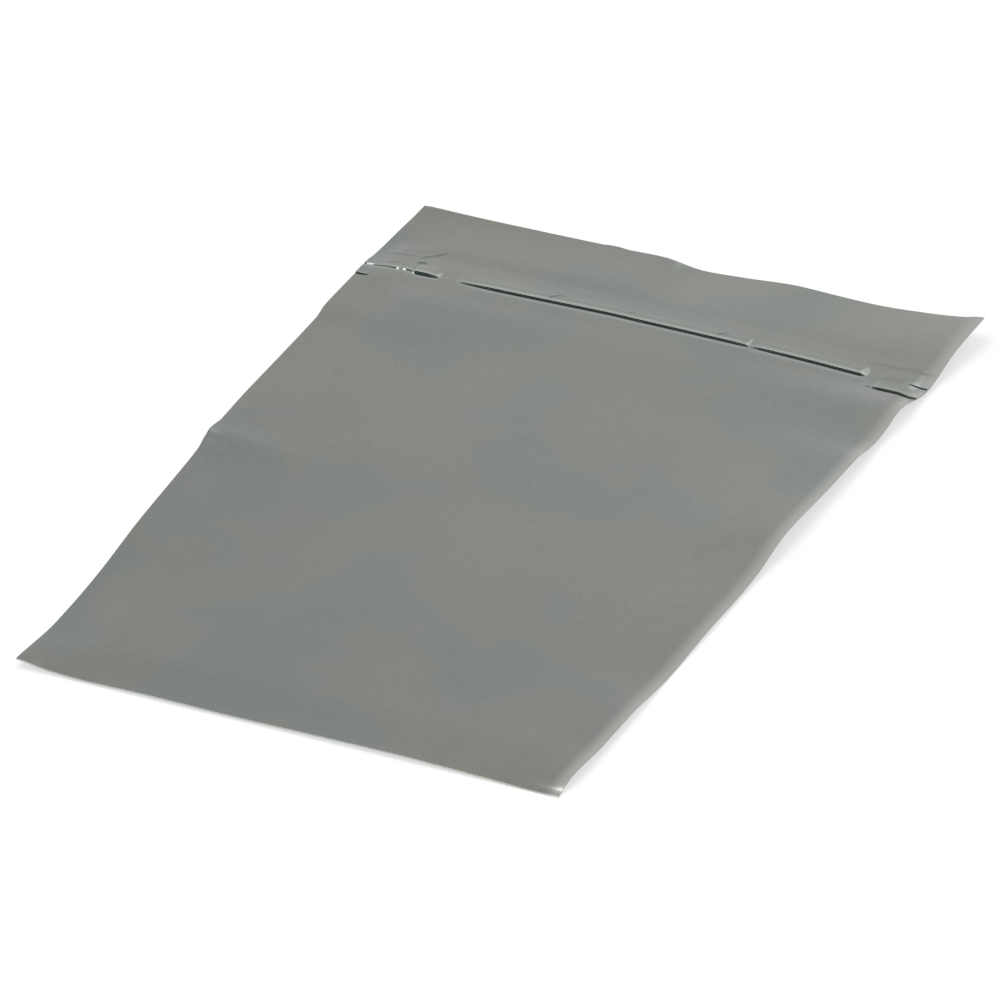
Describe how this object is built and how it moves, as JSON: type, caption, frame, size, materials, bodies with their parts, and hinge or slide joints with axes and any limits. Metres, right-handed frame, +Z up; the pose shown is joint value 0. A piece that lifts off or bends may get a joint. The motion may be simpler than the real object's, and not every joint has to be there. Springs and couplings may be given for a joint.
{
  "type": "anti static shielding bag",
  "caption": "Flat open-ended bag of grey metallised film, folded at the bottom and welded up the sides, with an interlocking press-to-close zip below the mouth.",
  "frame": {"origin": "on the table, under the centre of the flat bag's bounding box", "axes": "+Y from the folded bottom towards the mouth, +X across the bag from its left weld to its right weld, +Z up from the table"},
  "size_m": [0.103, 0.163, 0.004],
  "materials": {
    "shielding_film": "metallised polyester film, satin to glossy",
    "zip_strip": "extruded polyethylene, milky and smooth"
  },
  "bodies": {
    "root": {"film_envelope": "shielding_film", "zip_groove_strip": "zip_strip", "zip_rib_strip": "zip_strip"}
  },
  "joints": []
}
